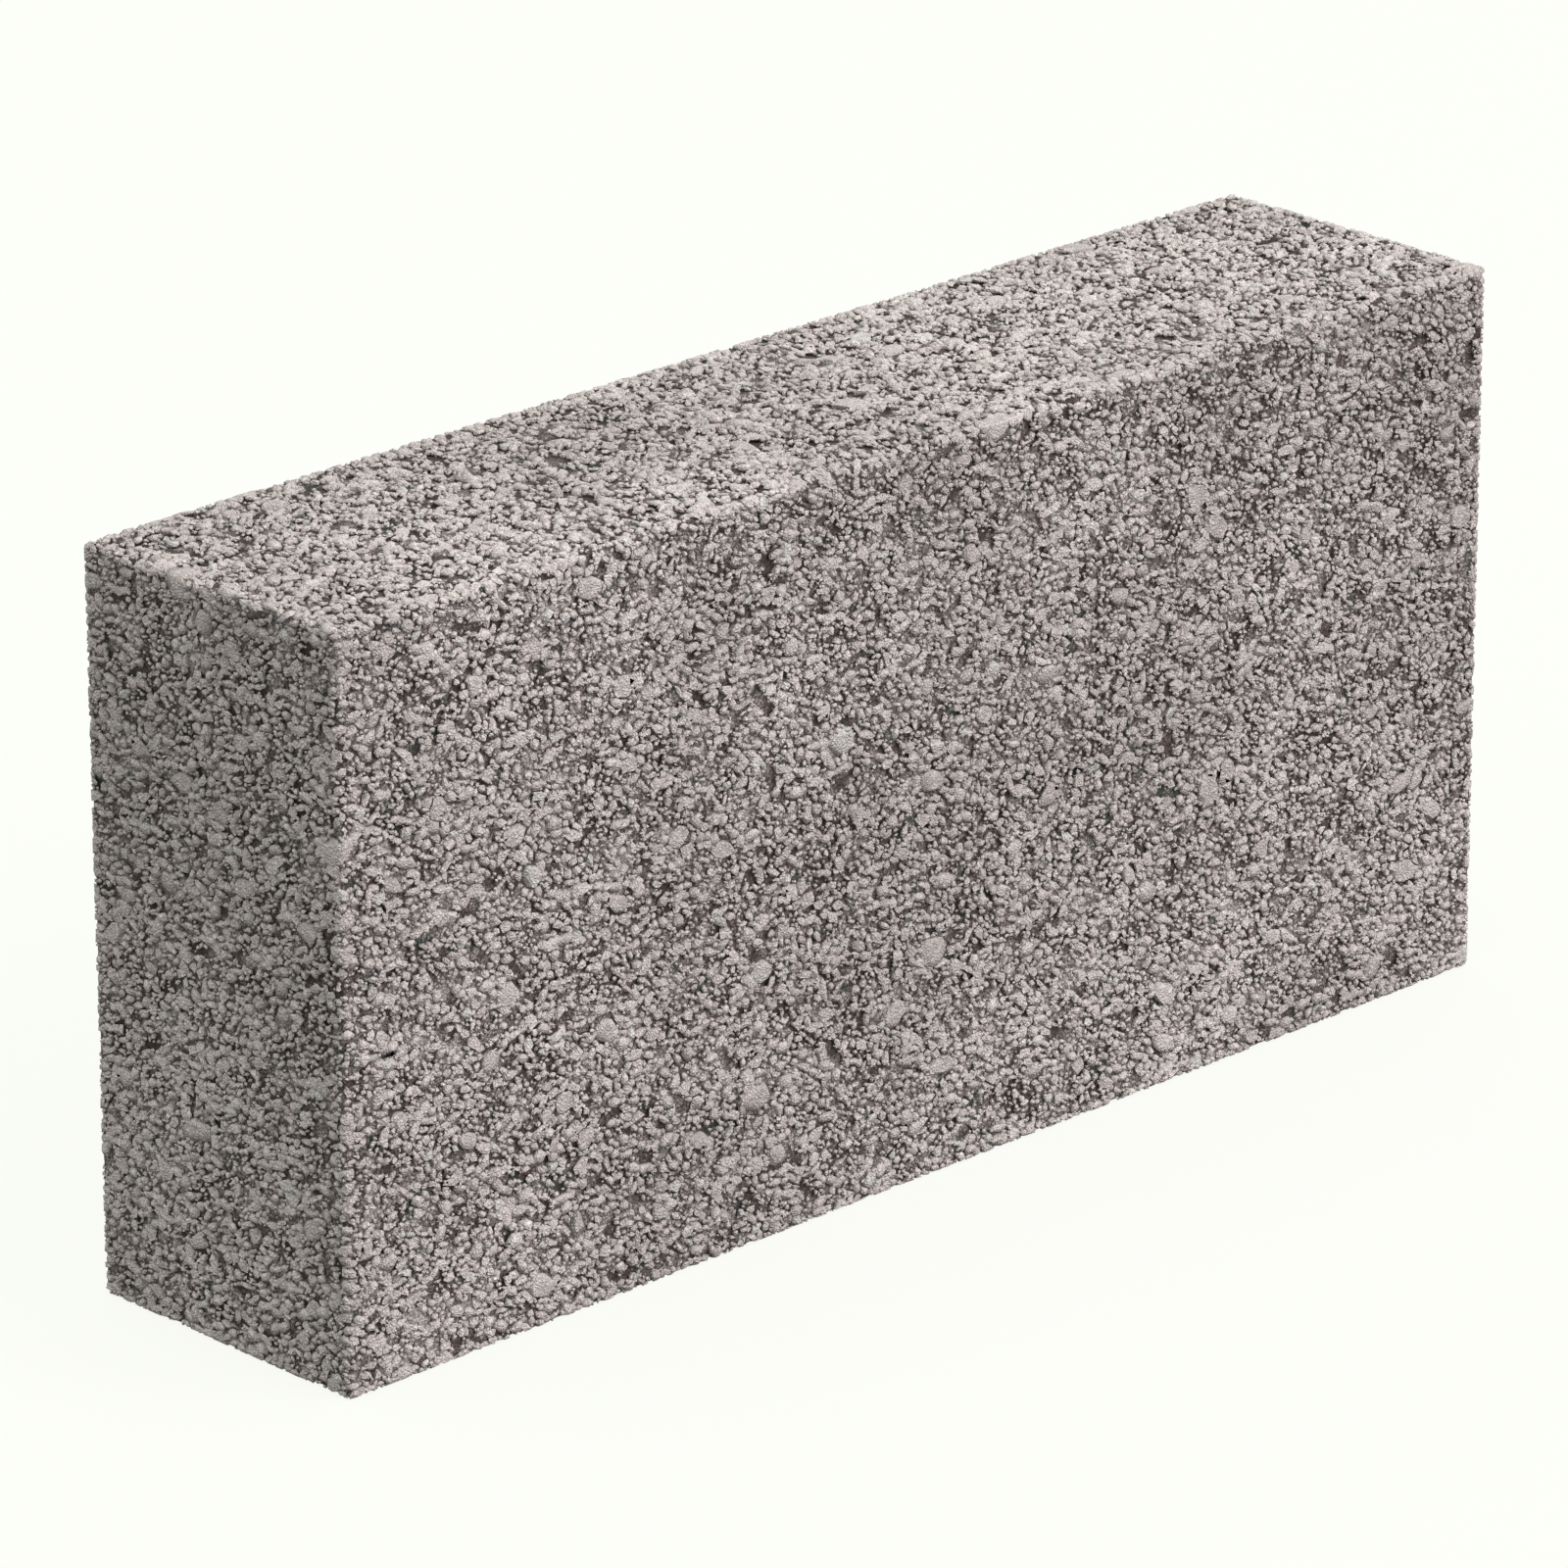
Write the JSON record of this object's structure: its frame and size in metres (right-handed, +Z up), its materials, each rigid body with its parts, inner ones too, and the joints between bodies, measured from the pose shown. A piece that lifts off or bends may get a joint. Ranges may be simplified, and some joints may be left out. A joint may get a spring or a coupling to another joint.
{
  "type": "solid concrete block",
  "caption": "Plain solid rectangular concrete block with square faces, softened arrises and an open gritty texture, laid in mortar to build walls.",
  "frame": {"origin": "middle of the bottom bed face, the long narrow face that the block stands on", "axes": "+X along the length, +Y through the thickness, +Z up the height"},
  "size_m": [0.44, 0.1, 0.215],
  "materials": {
    "concrete": "matte"
  },
  "bodies": {
    "root": {"block": "concrete"}
  },
  "joints": []
}
